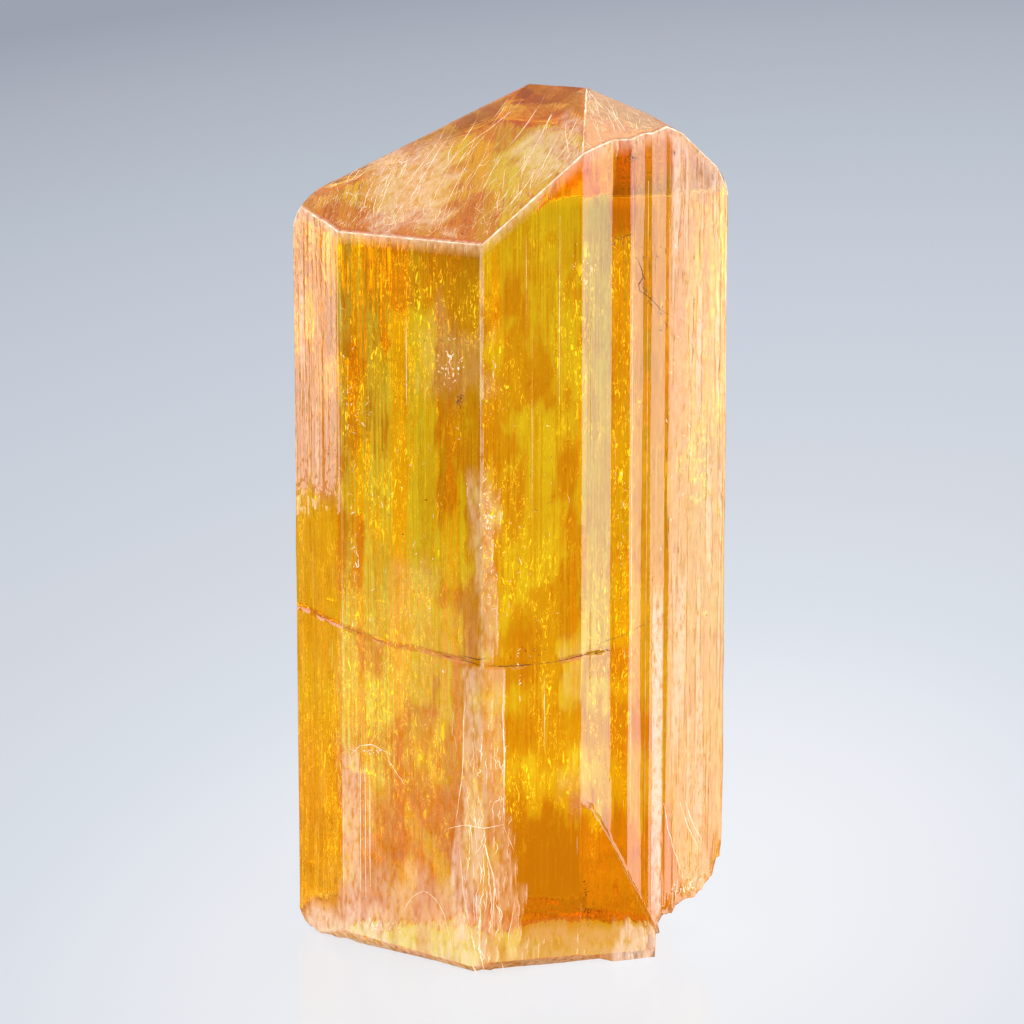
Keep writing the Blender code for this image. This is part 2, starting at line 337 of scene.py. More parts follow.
# The cap: a bevel ring, two close rings inside it, and the rest spread up to the apex. The sole is
# made the same way, up to the middle of the underside.
ROOF_RINGS = 28
FIRST_RINGS = (0.010, 0.003)
ROOF_WAVE = 0.010
inset = EDGE_BEVEL / np.linalg.norm(APEX[:2] - plan, axis=1)
ring_share = np.maximum(roof_rings(plan, ROOF_RINGS), inset)
ring_share[1] = ring_share[0] + FIRST_RINGS[0]
ring_share[2:] = np.maximum(ring_share[2:], ring_share[1] + FIRST_RINGS[1])
cap = np.empty(ring_share.shape + (3,))
cap[..., :2] = wall[-1, :, :2] + ring_share[..., None] * (APEX[:2] - wall[-1, :, :2])
cap[..., 2] = roof_height(cap[..., 0], cap[..., 1])
swell = summed_noise(cap[..., 0], cap[..., 1], [(ROOF_WAVE, 0.7, 51)])
cap[..., 2] += swell * np.clip(ring_share * 9, 0, 1)

FOOT_CENTRE = np.array((-1.0, 0.0))
FOOT_SHARES = np.array((0.015, 0.05, 0.10, 0.16, 0.23, 0.30, 0.37, 0.45, 0.6, 0.8))[:, None]
sole = np.empty((len(FOOT_SHARES), columns, 3))
sole[..., :2] = wall[0, :, :2] + FOOT_SHARES[..., None] * (FOOT_CENTRE - wall[0, :, :2])
sole[..., 2] = foot_height(sole[..., 0], sole[..., 1])


def closed_tube(rings, first_pole, last_pole):
    """A closed surface: rings of points in order, joined by quads, and a fan of triangles from each
    end ring to its pole. Rings run anticlockwise seen from the last pole."""
    count, around = rings.shape[:2]
    points = np.vstack((rings.reshape(-1, 3), first_pole, last_pole))
    grid = np.arange(count * around).reshape(count, around)
    beside = np.roll(grid, -1, axis=1)
    quads = np.stack((grid[:-1], beside[:-1], beside[1:], grid[1:]), axis=-1).reshape(-1, 4)
    low = np.stack((beside[0], grid[0], np.full(around, count * around)), axis=-1)
    high = np.stack((grid[-1], beside[-1], np.full(around, count * around + 1)), axis=-1)
    return points, quads, np.vstack((low, high))


def mesh_object(name, points, quads, triangles):
    """A mesh object from arrays of points in millimetres, quads and triangles, with flat shading."""
    mesh = bpy.data.meshes.new(name)
    loops = np.concatenate((quads.ravel(), triangles.ravel()))
    sizes = np.concatenate((np.full(len(quads), 4), np.full(len(triangles), 3)))
    starts = np.concatenate(([0], np.cumsum(sizes)[:-1]))
    mesh.vertices.add(len(points))
    mesh.vertices.foreach_set("co", (points * MM).astype(np.float32).ravel())
    mesh.loops.add(len(loops))
    mesh.loops.foreach_set("vertex_index", loops.astype(np.int32))
    mesh.polygons.add(len(sizes))
    mesh.polygons.foreach_set("loop_start", starts.astype(np.int32))
    mesh.update(calc_edges=True)
    mesh.validate()
    item = bpy.data.objects.new(name, mesh)
    bpy.context.scene.collection.objects.link(item)
    return item


rings = np.vstack((sole[::-1], wall, cap))
crystal = mesh_object("crystal", *closed_tube(rings, (*FOOT_CENTRE, 0.0), APEX))

# Masks kept on the mesh: red is frosted skin, which also glows with painted light, green is deeper
# orange, blue is how creamy the frost's painted light is, and alpha is how much painted glint the clear
# inside gets. They are laid out by x and by seen height.
VIEW_SLOPE = 0.245
FRONT_Y = -7.7


def seen_height(y, z):
    """Height as seen from the front, a little from above: what lies further back looks higher, by
    the view's slope times its distance behind the front edge."""
    return z + VIEW_SLOPE * (y - FRONT_Y)


spots = np.vstack((rings.reshape(-1, 3), (*FOOT_CENTRE, 0.0), APEX))
seen = seen_height(spots[:, 1], spots[:, 2])
ring_outward = np.vstack((np.tile(outward, (len(rings), 1)), ((0, 0), (0, 0))))
number = np.arange(len(spots)) // columns
on_sole = number < len(sole)
on_roof = number >= len(sole) + len(wall)
on_wall = ~on_sole & ~on_roof
on_front = (ring_outward[:, 1] < 0) & on_wall
behind = ~on_front & ~on_roof
rim = (number == len(sole) + len(wall) - 1) | (number == len(sole) + len(wall))
travel = np.concatenate((np.tile(along, len(rings)), (0.0, 0.0)))
travel = np.where(on_wall, travel, 1.3 * spots[:, 0] + spots[:, 1])


def soft_band(value, low, high, soft):
    """A mask that is 1 between low and high and falls smoothly to 0 over soft on either side."""
    step = np.clip(np.minimum(value - low, high - value) / soft + 1.0, 0.0, 1.0)
    return step * step * (3 - 2 * step)


def layered_noise(x, y, seed):
    """Noise in three layers, each half the size and about half the strength of the last, made to
    span about -1 to 1."""
    layers = [0.55 ** k * lattice_noise(x * 2 ** k, y * 2 ** k, seed + k) for k in range(3)]
    return sum(layers) / 1.3


uneven_x = layered_noise(travel / 1.1, spots[:, 2] / 1.4, 61)
uneven_z = layered_noise(travel / 1.0, spots[:, 2] / 1.6, 62)


def patch(reach, soft_x, soft_z, ragged):
    """A mask over x from reach[0] to reach[1] and seen height from reach[2] to reach[3], with its
    border displaced by uneven noise of the size ragged."""
    across = soft_band(spots[:, 0] + 0.7 * ragged * uneven_x, reach[0], reach[1], soft_x)
    return across * soft_band(seen + ragged * uneven_z, reach[2], reach[3], soft_z)


# Frosted places on the front walls, each glowing with painted light: reach, softness sideways and
# upright, raggedness, how frosted and how creamy. A place that runs off the foot starts below it.
BELOW_FOOT = -3.0
FROSTED = [((-3.40, -2.30, 9.4, 15.8), 0.5, 0.8, 0.9, 0.12, 0.2),
           ((-2.35, -0.30, 8.2, 16.2), 0.06, 0.15, 0.12, 0.50, 0.30),
           ((-1.90, -0.70, 17.4, 25.4), 0.30, 1.2, 1.2, 0.34, 0.8),
           ((-1.43, -1.36, 16.0, 37.6), 0.05, 0.5, 0.02, 0.62, 0.4),
           ((-8.40, -3.00, BELOW_FOOT, 4.9), 0.9, 1.2, 1.2, 0.42, 0.2),
           ((-10.7, -6.30, BELOW_FOOT, 3.0), 0.3, 0.3, 0.5, 0.74, 0.8),
           ((-8.62, -7.76, 3.9, 11.3), 0.03, 0.10, 0.0, 0.60, 0.7),
           ((-7.60, -7.05, 3.9, 11.0), 0.10, 0.20, 0.1, 0.24, 0.3),
           ((7.30, 7.86, 3.7, 19.2), 0.03, 2.0, 0.0, 0.85, 1.0),
           ((1.10, 7.40, BELOW_FOOT, 2.55), 0.5, 0.10, 0.15, 0.30, 0.4),
           ((-8.70, -1.50, 3.0, 16.0), 0.10, 9.0, 0.9, 0.12, 0.9),
           ((5.40, 7.50, BELOW_FOOT, 2.30), 0.4, 0.30, 0.6, 0.62, 0.9),
           ((-4.00, -1.60, 30.2, 33.8), 0.8, 0.8, 1.6, 0.10, 0.9),
           ((2.60, 3.70, 14.4, 17.4), 0.15, 0.25, 0.4, 0.12, 0.9),
           ((2.60, 3.70, 9.3, 11.4), 0.15, 0.25, 0.4, 0.12, 0.9),
           ((-6.00, -3.80, 17.0, 21.5), 0.30, 0.40, 0.5, 0.12, 0.9)]
frost = np.zeros(len(spots))
cream = np.full(len(spots), 0.2)
for reach, soft_x, soft_z, ragged, amount, creamy in FROSTED:
    mask = patch(reach, soft_x, soft_z, ragged)
    frost = np.maximum(frost, mask * amount)
    cream += (creamy - cream) * mask

# The worn front edge is ribbed and frosted in a band that widens towards the foot; the band glows
# with painted light for the light it reflects from the front.
FOOT_BAND_TOP = 8.1
edge_x = spots[:, 0] + 0.5 * uneven_x - FRONT_EDGE[0]
widening = 1.15 + 0.13 * np.clip(8.0 - seen, 0, 8)
foot_band = soft_band(edge_x / widening, -1.15, 1.05, 0.10)
foot_band = foot_band * soft_band(seen + 0.3 * uneven_z, BELOW_FOOT, FOOT_BAND_TOP, 0.15)
ribs = layered_noise(travel / 0.26, spots[:, 2] / 2.4, 65)
frost = np.maximum(frost, foot_band * (0.52 + 0.34 * ribs))

# The outer faces have a satin skin in upright streaks, with its sheen painted as glowing frost: on the
# right all the way up, and on the left above a ragged line. The broken corner has frosted nodules,
# which glow with painted light too, and a clear hollow lies beside them.
PAST_LEFT, PAST_RIGHT = -12.0, 12.0
LEFT_SATIN_SHEEN_FOOT = 25.6
NODULE_TOP = 5.4
HOLLOW_TOP = 8.6
streaks = np.clip(2.2 * layered_noise(travel / 0.30, spots[:, 2] / 8.0, 66), 0.0, 1.0)
ragged_seen = seen + 0.8 * uneven_z
right_satin_sheen = soft_band(spots[:, 0], 8.3, PAST_RIGHT, 0.3) * (0.26 + 0.40 * streaks)
left_satin_sheen = soft_band(spots[:, 0], PAST_LEFT, -8.80, 0.08) * (0.26 + 0.46 * streaks)
left_satin_sheen = left_satin_sheen * soft_band(ragged_seen, LEFT_SATIN_SHEEN_FOOT, 45.0, 0.5)
nodules = 0.62 * soft_band(spots[:, 0], 8.6, PAST_RIGHT, 0.5)
nodules = nodules * soft_band(ragged_seen, BELOW_FOOT, NODULE_TOP, 0.5)
cream += (0.10 + 0.60 * streaks - cream) * (left_satin_sheen > 0.05)
cream += (np.clip(0.10 + 0.02 * seen, 0, 0.8) + 0.3 * streaks - cream) * (right_satin_sheen > 0.05)
frost = np.maximum.reduce((frost, right_satin_sheen, left_satin_sheen, nodules))
hollow_end = 8.05 + 0.20 * np.clip(HOLLOW_TOP - seen, 0, 4.4)
hollow = soft_band(spots[:, 0], 7.86, hollow_end, 0.08) * on_front
frost = frost * (1 - 0.8 * hollow * soft_band(seen, 2.6, HOLLOW_TOP, 0.6))
# The walls behind get faint streaked frost that glows with painted light.
frost = np.where(on_front, frost, 0.06 + 0.16 * streaks)

# The roof is almost clear, with faint clouds and two creamy places. Its rim is frosted, and glows as a
# bright painted edge, more at the front than behind; the roof's frost and the frosted sole glow with
# painted light too.
FRONT_RIM_FROST = 0.8
BACK_RIM_FROST = 0.25
SOLE_FROST = 0.5
clouds = layered_noise(spots[:, 0] / 2.4, spots[:, 1] / 2.0, 91)
roof_frost = np.clip(0.3 * clouds - 0.10, 0.0, 0.08)
roof_cream = patch((-6.3, -3.4, 39.6, 43.2), 0.7, 0.6, 1.3) + patch((1.2, 3.4, 42.2, 44.3), 0.6, 0.5, 1.0)
roof_cream = np.maximum(roof_cream, 0.45 * soft_band(spots[:, 0], 3.95, 8.2, 0.5))
roof_frost = np.maximum(roof_frost, 0.42 * roof_cream)
frost = np.where(on_roof, roof_frost, np.where(on_sole, SOLE_FROST, frost))
cream = np.where(on_roof, 0.4 + 0.6 * roof_cream, cream)
rim_frost = np.where(ring_outward[:, 1] < 0, FRONT_RIM_FROST, BACK_RIM_FROST)
frost = np.where(rim, rim_frost, frost)
cream = np.where(rim, 0.5, cream)

# Deeper and lighter orange inside the stone behind the front walls: reach, softness sideways and
# upright, raggedness and how much deeper, or lighter where it is negative.
TINTED = [((0.3, 7.4, 2.6, 7.5), 0.5, 0.5, 1.0, 1.2),
          ((-10.9, -8.8, 4.0, 25.4), 0.1, 0.4, 0.5, -0.12),
          ((-8.7, -2.4, 1.0, 12.0), 0.6, 2.5, 1.5, 0.15),
          ((-0.6, 6.8, 12.2, 14.4), 0.8, 0.5, 1.3, 0.6),
          ((1.0, 4.2, 9.2, 9.55), 0.2, 0.1, 0.35, 1.5),
          ((0.3, 3.8, 41.3, 45.0), 0.3, 0.08, 0.0, 0.9),
          ((5.15, 6.2, 39.5, 45.0), 0.05, 1.0, 0.5, 0.7),
          ((-2.2, -1.45, 20.0, 36.0), 0.3, 3.0, 1.0, 0.45),
          ((-6.1, -3.8, 15.0, 34.2), 0.25, 1.0, 0.5, -0.9),
          ((0.5, 3.85, 36.8, 41.2), 0.3, 0.1, 0.4, -1.1),
          ((2.55, 3.7, 14.4, 17.5), 0.2, 0.2, 0.4, -1.6),
          ((2.55, 3.7, 9.6, 11.4), 0.2, 0.2, 0.4, -1.6),
          ((-12.0, -8.8, 25.6, 45.0), 0.1, 0.3, 0.5, 0.35),
          ((1.1, 7.4, BELOW_FOOT, 2.55), 0.5, 0.1, 0.15, 0.6),
          ((-8.7, -1.4, 29.0, 38.0), 0.1, 5.0, 0.5, 0.4),
          ((-1.2, 3.7, 12.0, 41.2), 0.2, 2.0, 0.5, 0.1),
          ((0.3, 3.7, 4.2, 8.4), 0.5, 0.5, 0.8, 0.7)]
FRONT_DEPTH = 0.40
BACK_DEPTH = 0.46
patches = layered_noise(travel / 1.5, spots[:, 2] / 2.2, 71)
bands = layered_noise(travel / 0.42, spots[:, 2] / 7.0, 75)
satiny = soft_band(spots[:, 0], PAST_LEFT, -8.8, 0.1) + soft_band(spots[:, 0], 3.9, PAST_RIGHT, 0.1)
patchy = np.clip(1.2 * patches, -0.30, 0.45) * np.where(behind, 0.30, 1.0)
banded = 0.40 * np.clip(bands, -0.4, 0.6)
deep = np.where(behind, BACK_DEPTH, FRONT_DEPTH) + (patchy + banded) * (1 - 0.85 * satiny)
for reach, soft_x, soft_z, ragged, amount in TINTED:
    deep = deep + amount * patch(reach, soft_x, soft_z, ragged) * on_front
low_roof = patch((-9.8, -1.0, 37.0, 40.0), 0.5, 0.8, 0.8)
deep = deep + on_roof * (0.7 * low_roof - 0.4 * roof_cream)
deep = deep + 0.6 * (on_sole & (spots[:, 0] > -1.5))
deep = deep + 0.5 * (on_wall & behind) * soft_band(spots[:, 2], -1.0, 6.0, 3.0)

# A deeper seam lies under the crack, and stain fills the crack and the hollow.
below_crack = crack_height(spots[:, 0], spots[:, 1]) - spots[:, 2]
seam = soft_band(below_crack, 0.0, 0.5, 0.4)
seam = seam * soft_band(spots[:, 0] + 0.7 * uneven_x, -1.0, CRACK_END, 1.5)
deep = deep + 0.8 * seam * on_front
deep = np.maximum(deep, hollow * soft_band(seen, BELOW_FOOT, HOLLOW_TOP, 0.6) * 1.4)
deep = np.clip(deep, 0.0, 1.0)
in_crack = (np.abs(below_crack) < 0.1) & (spots[:, 0] < CRACK_END)
deep = np.where(in_crack & on_front, 1.0, deep)

# Painted glints come in clusters behind the broad faces and behind two narrow strips. The painted
# backlight is how strongly light from behind is painted as a glow on the right front face and the narrow
# strip.
cluster = np.clip(0.55 + 1.4 * layered_noise(travel / 1.6, spots[:, 2] / 3.5, 81), 0.15, 1.0)
painted_glint_mask = patch((-8.5, 4.4, 9.0, 36.0), 1.0, 4.0, 1.0) * cluster
painted_glint_mask = np.maximum(painted_glint_mask, patch((5.2, 6.25, 12.0, 37.0), 0.1, 3.0, 0.5) * 0.9)
painted_glint_mask = np.maximum(painted_glint_mask, patch((-10.9, -8.8, 5.0, 25.0), 0.1, 1.0, 0.5) * 0.7 * cluster) * on_front
zones = np.stack((frost, deep, np.clip(cream, 0, 1), painted_glint_mask), axis=-1)
mask_layer = crystal.data.attributes.new("zones", "FLOAT_COLOR", "POINT")
mask_layer.data.foreach_set("color", zones.astype(np.float32).ravel())
painted_backlight = patch((-1.20, 3.75, 11.0, 45.0), 0.2, 4.0, 0.4)
painted_backlight = painted_backlight + 0.25 * patch((5.2, 6.2, 12.0, 38.0), 0.1, 3.0, 0.2)
painted_backlight_layer = crystal.data.attributes.new("painted_backlight", "FLOAT", "POINT")
painted_backlight_layer.data.foreach_set("value", (painted_backlight * on_front).astype(np.float32))


def noded_material(name):
    """A new material, its node tree and its shader."""
    material = bpy.data.materials.new(name)
    material.use_nodes = True
    return material, material.node_tree, material.node_tree.nodes["Principled BSDF"]


def put(tree, kind, sockets=(), **settings):
    """A new node with these settings. Each named socket gets a value, or a link from a socket."""
    node = tree.nodes.new(kind)
    for name, value in settings.items():
        setattr(node, name, value)
    for name, value in dict(sockets).items():
        if isinstance(value, bpy.types.NodeSocket):
            tree.links.new(value, node.inputs[name])
        else:
            node.inputs[name].default_value = value
    return node


def worked(tree, operation, first, second=0.0, third=0.0):
    """The output of a Math node that works on these numbers or sockets."""
    return put(tree, "ShaderNodeMath", {0: first, 1: second, 2: third}, operation=operation).outputs[0]


def blended(tree, amount, first, second):
    """The colour that lies this amount of the way from the first colour to the second."""
    return put(tree, "ShaderNodeMix", {0: amount, 6: first, 7: second}, data_type="RGBA").outputs[2]


def spread(tree, value, low, high):
    """The value carried from the span low to high onto 0 to 1, smoothly, and held there."""
    node = put(tree, "ShaderNodeMapRange", {"Value": value, "From Min": low, "From Max": high},
               interpolation_type="SMOOTHSTEP")
    return node.outputs[0]


# The stone's unevenness is one node group, placed in each of its finishes with its own values. It is
# noise over Object coordinates, drawn out by three factors, and the same noise as a soft mottle.
NOISE_ROUGHNESS = 0.62
MOTTLE_SPAN = (0.35, 0.65)
unevenness = bpy.data.node_groups.new("stone_unevenness", "ShaderNodeTree")
for name, kind in (("Stretch", "Vector"), ("Scale", "Float"), ("Detail", "Float"), ("Distortion", "Float")):
    unevenness.interface.new_socket(name, in_out="INPUT", socket_type="NodeSocket" + kind)
for name in ("Noise", "Mottle"):
    unevenness.interface.new_socket(name, in_out="OUTPUT", socket_type="NodeSocketFloat")
asked = put(unevenness, "NodeGroupInput").outputs
place = put(unevenness, "ShaderNodeTexCoord").outputs["Object"]
drawn = put(unevenness, "ShaderNodeVectorMath", {0: place, 1: asked["Stretch"]}, operation="MULTIPLY")
noise = put(unevenness, "ShaderNodeTexNoise",
            {"Vector": drawn.outputs[0], "Scale": asked["Scale"], "Detail": asked["Detail"],
             "Roughness": NOISE_ROUGHNESS, "Distortion": asked["Distortion"]}).outputs[0]
put(unevenness, "NodeGroupOutput", {"Noise": noise, "Mottle": spread(unevenness, noise, *MOTTLE_SPAN)})


def uneven(tree, stretch, scale, detail, distortion=0.0):
    """The outputs of the unevenness in this material. The noise is counted in millimetres, times
    these factors along its three axes."""
    asks = {"Stretch": [factor / MM for factor in stretch], "Scale": scale, "Detail": detail,
            "Distortion": distortion}
    return put(tree, "ShaderNodeGroup", asks, node_tree=unevenness).outputs


# The clear stone. Its crossings are tinted from pale gold to deep orange by the mask and by sparks, the
# volume absorbs blue and some green, and frosted skin is dimmed, rough, and glows with painted light.
PALE_GOLD = (1.0, 0.98, 0.70, 1.0)
DEEP_ORANGE = (0.71, 0.285, 0.02, 1.0)
CRUST_SHADE = (0.10, 0.06, 0.05, 1.0)
# The frost, glow and glint colours are painted light, given to the stone as emission.
WARM_FROST_GLOW = (0.64, 0.34, 0.15, 1.0)
CREAM_FROST_GLOW = (0.74, 0.62, 0.54, 1.0)
FAINT_GLOW = (0.034, 0.016, 0.001, 1.0)
WARM_GLOW = (0.155, 0.050, 0.001, 1.0)
GOLDEN_GLINT = (1.0, 0.68, 0.02, 1.0)
STONE_ABSORPTION = (0.987, 0.908, 0.0, 1.0)
FROST_ROUGHNESS = 0.40
FROST_RELIEF = 0.00015
topaz, tree, shader = noded_material("topaz")
shader.inputs["IOR"].default_value = 1.62
shader.inputs["Transmission Weight"].default_value = 1.0
masks = put(tree, "ShaderNodeAttribute", attribute_name="zones")
parts = put(tree, "ShaderNodeSeparateColor", {"Color": masks.outputs["Color"]})
frosted, deeper, creamy = (parts.outputs[name] for name in ("Red", "Green", "Blue"))
sparks = uneven(tree, (1, 1, 0.26), 4.6, 2.0, 0.6)["Noise"]
grit = uneven(tree, (1, 1, 0.4), 3.6, 1.0)["Noise"]
broken = worked(tree, "MULTIPLY_ADD", sparks, 0.9, worked(tree, "ADD", deeper, -0.45))
tint = blended(tree, spread(tree, broken, 0.18, 0.82), PALE_GOLD, DEEP_ORANGE)
crusted = worked(tree, "MULTIPLY", frosted, spread(tree, grit, 0.12, 0.66))
tint = blended(tree, crusted, tint, CRUST_SHADE)
tree.links.new(tint, shader.inputs["Base Color"])

# The painted glints: thin wiggly threads where the sparks' noise crosses its middle, and spots where it is
# high. With a faint painted glow, warmer where light from behind is painted, and the frost's painted
# light, they make the stone's emission.
contour = worked(tree, "ABSOLUTE", worked(tree, "SUBTRACT", sparks, 0.5))
threads = worked(tree, "MULTIPLY", spread(tree, contour, 0.016, 0.004), spread(tree, grit, 0.42, 0.58))
glints = worked(tree, "MAXIMUM", spread(tree, sparks, 0.62, 0.70), threads)
glints = worked(tree, "MULTIPLY_ADD", glints, 0.94, 0.06)
gleam = worked(tree, "MULTIPLY", masks.outputs["Alpha"], glints)
frost_glow = blended(tree, creamy, WARM_FROST_GLOW, CREAM_FROST_GLOW)
painted_backlight = put(tree, "ShaderNodeAttribute", attribute_name="painted_backlight").outputs["Fac"]
glow = blended(tree, painted_backlight, FAINT_GLOW, WARM_GLOW)
glow = blended(tree, crusted, glow, frost_glow)
glow = blended(tree, gleam, glow, GOLDEN_GLINT)
# The painted light goes into the emission: the glow, the frost's light and the golden glints.
tree.links.new(glow, shader.inputs["Emission Color"])
shader.inputs["Emission Strength"].default_value = 1.0
topaz.cycles.emission_sampling = "NONE"
tree.links.new(worked(tree, "MULTIPLY", crusted, FROST_ROUGHNESS), shader.inputs["Roughness"])
crust = worked(tree, "MULTIPLY", frosted, grit)
bump = put(tree, "ShaderNodeBump", {"Height": crust, "Strength": 1.0, "Distance": FROST_RELIEF})
tree.links.new(bump.outputs["Normal"], shader.inputs["Normal"])
absorb = put(tree, "ShaderNodeVolumeAbsorption", {"Color": STONE_ABSORPTION, "Density": 300.0})
tree.links.new(absorb.outputs["Volume"], tree.nodes["Material Output"].inputs["Volume"])
crystal.data.materials.append(topaz)
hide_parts("topaz_crystal")
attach(crystal, "root")

# The growth lines on the roof: fine raised whitish lines that run down each roof face, short and close
# near the lower rim, with highlight beads along the rims that paint the light caught on the edges.
# They are part of the crystal's own skin, and so are the steps, flecks and scars on its walls. All of
# them glow with painted light.
LONG_LINES = 46
SHORT_LINES = 430
MIDDLE_LINES = 90
RIGHT_LONG_LINES = 30
RIGHT_SHORT_LINES = 50
LINE_POINTS = 12
LINE_SINK = 0.02
STONE_MIDDLE = np.array((0.0, 0.0, 22.0))
seeded = np.random.default_rng(7)


def thin_ridges(centres, half_width, height):
    """Ridges of triangular section along many lines at once. A line's points are a row of centres,
    half_width gives each point's half width, and the crest stands height above the line: outwards
    from the stone's middle on the walls, and outwards and upwards where the line lies on the roof."""
    lines, count = centres.shape[:2]
    run = np.gradient(centres, axis=1)
    run /= np.linalg.norm(run, axis=2, keepdims=True) + 1e-9
    on_top = centres[..., 2:] > roof_height(centres[:, :1, 0], centres[:, :1, 1])[..., None] - 0.5
    away = (centres - STONE_MIDDLE) * (1.0, 1.0, 0.0) + (0.0, 0.0, 9.0) * on_top
    side = np.cross(away, run)
    side /= np.linalg.norm(side, axis=2, keepdims=True) + 1e-9
    up = np.cross(run, side)
    left = centres + side * half_width[..., None] - up * LINE_SINK
    right = centres - side * half_width[..., None] - up * LINE_SINK
    crest = centres + up * (height * half_width / half_width.max())[..., None]
    points = np.stack((left, right, crest), axis=2).reshape(-1, 3)
    grid = np.arange(lines * count * 3).reshape(lines, count, 3)
    around = np.roll(grid, -1, axis=2)
    quads = np.stack((grid[:, :-1], around[:, :-1], around[:, 1:], grid[:, 1:]), axis=-1).reshape(-1, 4)
    caps = np.vstack((grid[:, 0, ::-1], grid[:, -1]))
    return points, quads, caps


def fall_lines(starts, heading, lengths, wander):
    """Wavy lines in plan: each walks from its start along its heading, and its heading drifts as a
    smooth random walk of this size in degrees."""
    drift = np.cumsum(seeded.normal(0.0, wander, (len(starts), LINE_POINTS)), axis=1)
    angle = np.radians(heading[:, None] + drift)
    step = lengths[:, None] / (LINE_POINTS - 1)
    x = starts[:, :1] + np.cumsum(np.cos(angle) * step, axis=1)
    y = starts[:, 1:] + np.cumsum(np.sin(angle) * step, axis=1)
    return x, y


def inside_face(x, y, face):
    """Whether points lie on this roof face, 0.08 mm or more inside the outline. A point is inside
    where a line drawn from it towards +X crosses the outline an odd number of times."""
    shape = np.shape(x)
    spots = np.stack((np.ravel(x), np.ravel(y)), axis=-1)
    start, end = corners, np.roll(corners, -1, axis=0)
    gap = spots[:, None, :] - start
    run = end - start
    share = np.clip((gap * run).sum(axis=2) / (run * run).sum(axis=1), 0, 1)
    near = np.linalg.norm(gap - share[..., None] * run, axis=2).min(axis=1)
    crosses = (start[:, 1] > spots[:, None, 1]) != (end[:, 1] > spots[:, None, 1])
    climb = (spots[:, None, 1] - start[:, 1]) / np.where(run[:, 1] == 0, 1, run[:, 1])
    meets = start[:, 0] + run[:, 0] * climb
    inside = (crosses & (spots[:, None, 0] < meets)).sum(axis=1) % 2 == 1
    good = (inside & (near > 0.08)).reshape(shape)
    return good & (roof_surfaces(x, y).argmin(axis=0) == face)


def kept_lines(count, face, heading, spread, lengths, wander, reach, top=99.0):
    """Lines on one roof face: six times as many candidates as wanted start inside the box reach, and
    those that stay wholly on the face are kept, few of them above the height top."""
    low, high = np.array(reach[0]), np.array(reach[1])
    starts = low + (high - low) * seeded.random((count * 6, 2))
    headings = heading + seeded.normal(0.0, spread, len(starts))
    sizes = lengths[0] + (lengths[1] - lengths[0]) * seeded.random(len(starts)) ** 2
    x, y = fall_lines(starts, headings, sizes, wander)
    good = inside_face(x, y, face).all(axis=1)
    good &= roof_height(starts[:, 0], starts[:, 1]) < top + 2.4 * seeded.random(len(starts)) ** 2
    return x[good][:count], y[good][:count]


crown = [kept_lines(LONG_LINES, 0, -128.0, 6.0, (1.2, 5.2), 6.0, ((-7, -7), (5, 3))),
         kept_lines(SHORT_LINES, 0, -128.0, 24.0, (0.12, 0.60), 15.0, ((-10, -8), (4, 1)), 39.0),
         kept_lines(MIDDLE_LINES, 0, -128.0, 15.0, (0.3, 1.4), 13.0, ((-10, -8), (4, 1)), 41.0),
         kept_lines(RIGHT_LONG_LINES, 1, -48.0, 7.0, (0.9, 3.4), 4.0, ((3, -6), (9, -1))),
         kept_lines(RIGHT_SHORT_LINES, 1, -52.0, 18.0, (0.15, 0.7), 12.0, ((3, -6), (10, 0)))]
line_x = np.vstack([x for x, y in crown])
line_y = np.vstack([y for x, y in crown])
roof_lines = np.stack((line_x, line_y, roof_height(line_x, line_y)), axis=-1)
taper = np.sin(np.linspace(0.12, math.pi - 0.12, LINE_POINTS))
roof_sizes = 0.011 + 0.013 * seeded.random((len(line_x), 1))
roof_sizes *= np.repeat((1.0, 0.68, 0.80, 1.0, 0.75), [len(x) for x, y in crown])[:, None]
front = np.flatnonzero(outward[:, 1] < -0.05)
front = front[np.argsort(plan[front, 0])]


def wall_points(x, level):
    """Points on the front walls at these x, level being the height as seen from the front."""
    y = np.interp(x, plan[front, 0], plan[front, 1])
    return np.stack((x, y, level - VIEW_SLOPE * (y - FRONT_Y)), axis=-1)


def upright_lines(x, low, high, wander):
    """Points of upright wavy lines on the front walls, each from its low to its high level."""
    share = np.linspace(0, 1, LINE_POINTS)
    level = low[:, None] + (high - low)[:, None] * share
    drift = np.cumsum(seeded.normal(0.0, wander, level.shape), axis=1)
    return wall_points(x[:, None] + drift, level)


# Sharp upright steps on the front faces: place, foot and top level of each.
STEP_SIZE = 0.017
STEPS = np.array([(0.82, 33.0, 38.6), (1.13, 24.0, 33.8), (2.50, 30.0, 39.6), (1.75, 12.0, 16.0),
                  (6.95, 2.0, 41.5), (6.20, 8.0, 41.0), (-8.55, 16.0, 35.5), (-5.20, 30.0, 34.5),
                  (-8.62, 3.9, 11.4), (-7.72, 4.2, 11.2), (-7.45, 3.9, 11.0), (-7.20, 4.5, 10.2)])
step_lines = upright_lines(STEPS[:, 0], STEPS[:, 1], STEPS[:, 2], 0.004)
step_sizes = np.full((len(STEPS), 1), STEP_SIZE)

# Short upright ribs on the worn front edge, up to this height.
RIBS = 90
RIB_TOP = 13.0
rib_x = -1.45 + seeded.normal(0.0, 0.62, RIBS)
rib_low = seeded.random(RIBS) * RIB_TOP
rib_lines = upright_lines(rib_x, rib_low, rib_low + 0.4 + 1.9 * seeded.random(RIBS) ** 2, 0.035)

